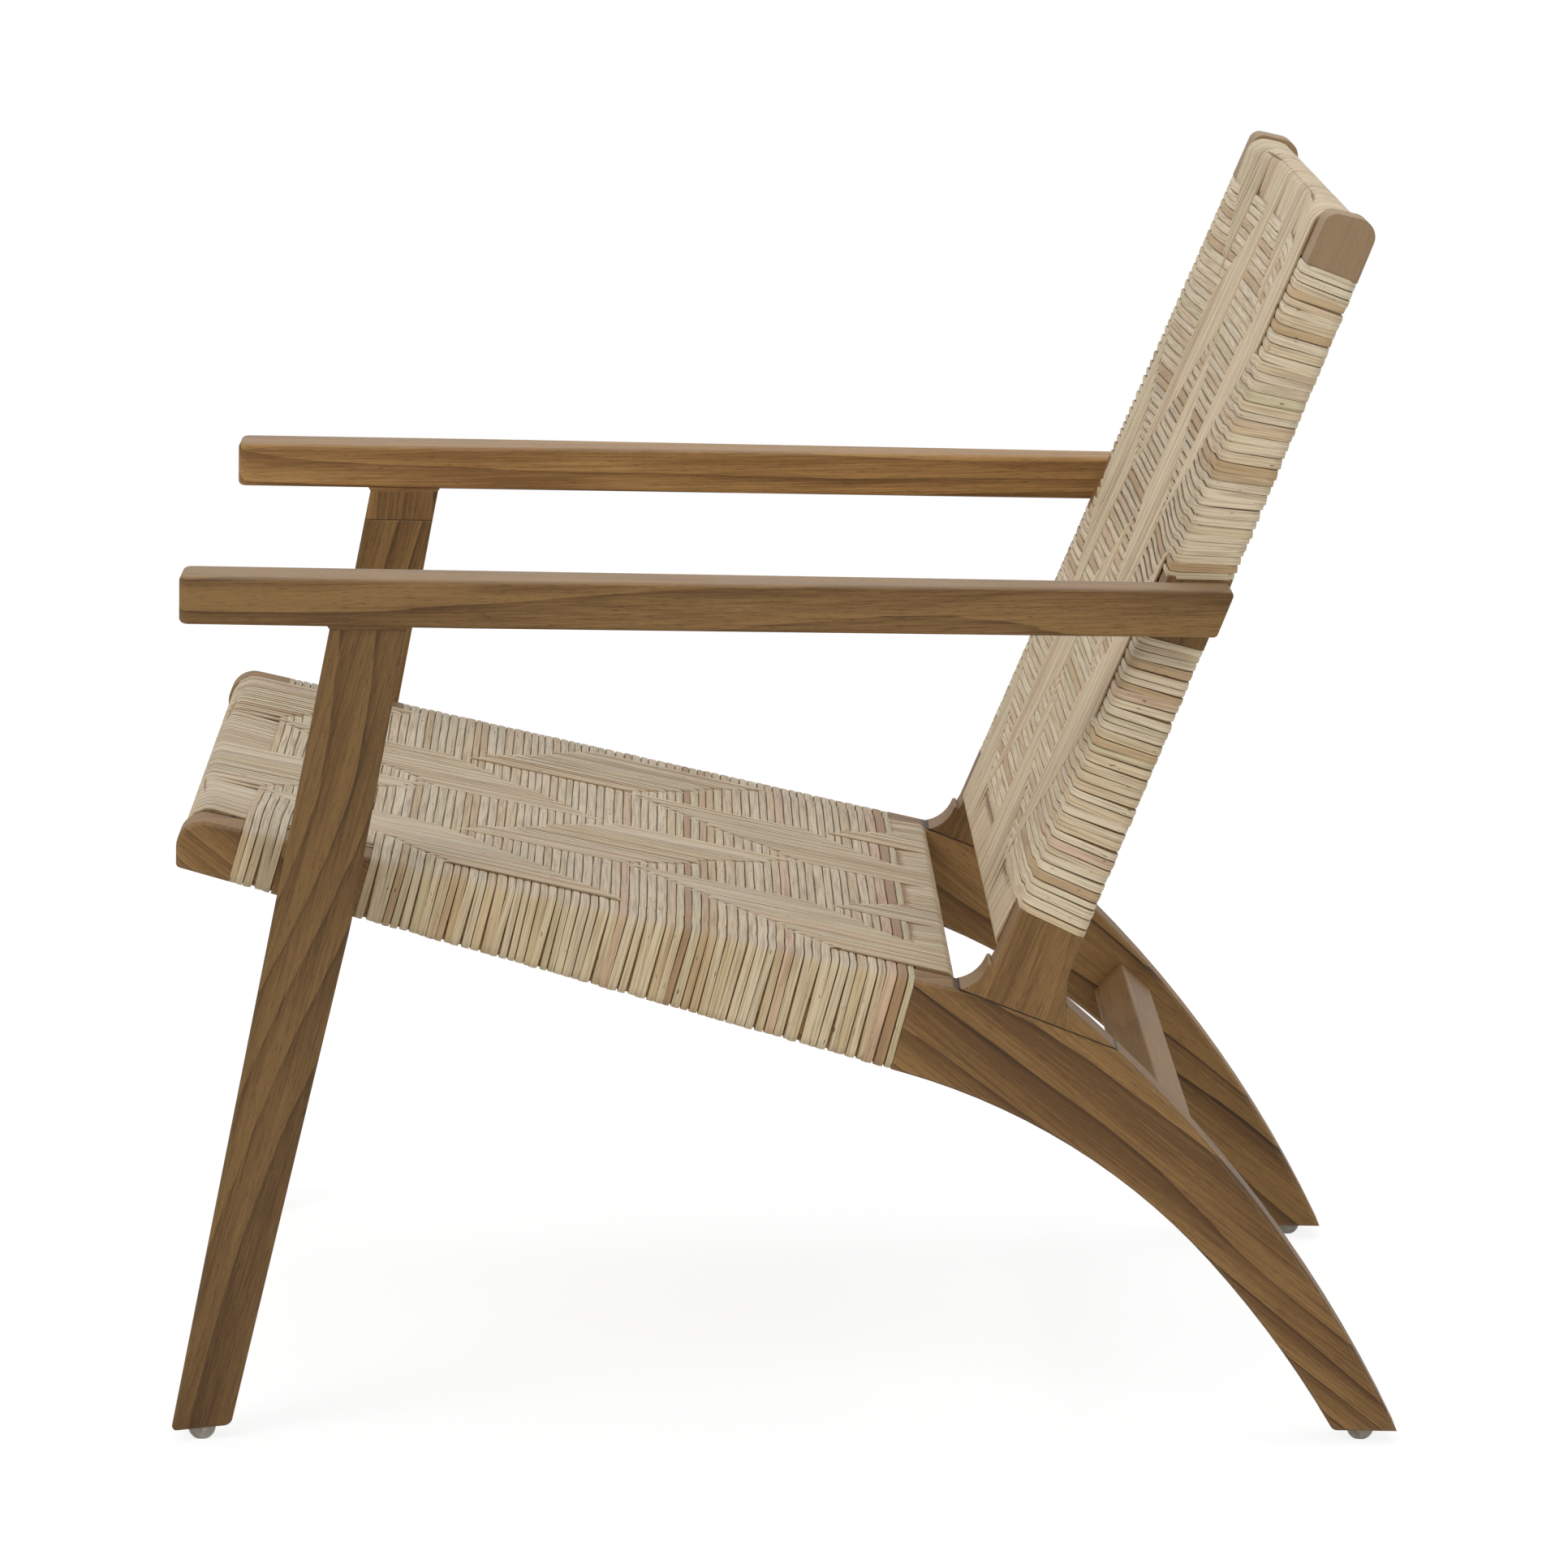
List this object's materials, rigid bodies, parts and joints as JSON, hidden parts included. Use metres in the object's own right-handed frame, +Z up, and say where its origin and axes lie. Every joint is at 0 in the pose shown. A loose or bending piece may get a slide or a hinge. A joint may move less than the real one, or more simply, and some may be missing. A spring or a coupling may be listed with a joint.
{
  "type": "lounge armchair",
  "caption": "Low wooden lounge armchair with a leaning back, level arms, raked front legs, curved rear legs, and a seat and back woven in rattan strands.",
  "frame": {"origin": "centre of the chair's bounding box on the floor", "axes": "+X towards the sitter's left, -Y towards the front, +Z up; the chair is symmetric left to right"},
  "size_m": [0.64, 0.761, 0.7678],
  "materials": {
    "teak": "oiled mid-brown timber with long dark grain lines, greyer on upward faces",
    "rattan": "dry split rattan strands, matt, grey-beige to tan",
    "tenon_wood": "plain beech, unfinished",
    "steel_screws": "zinc-plated, satin",
    "glide_plastic": "grey, slightly cloudy, satin"
  },
  "bodies": {
    "root": {"left_side_board": "teak", "right_side_board": "teak", "left_back_post": "teak", "right_back_post": "teak", "left_front_leg": "teak", "right_front_leg": "teak", "left_leg_cheek": "teak", "right_leg_cheek": "teak", "left_arm": "teak", "right_arm": "teak", "front_seat_rail": "teak", "rear_seat_rail": "teak", "back_bottom_rail": "teak", "back_top_rail": "teak", "rear_stretcher": "teak", "arm_leg_tenons": "tenon_wood", "arm_post_tenons": "tenon_wood", "leg_screws": "steel_screws", "front_glides": "glide_plastic", "rear_glides": "glide_plastic", "seat_wefts": "rattan", "seat_warps": "rattan", "back_wefts": "rattan", "back_warps": "rattan"}
  },
  "joints": []
}
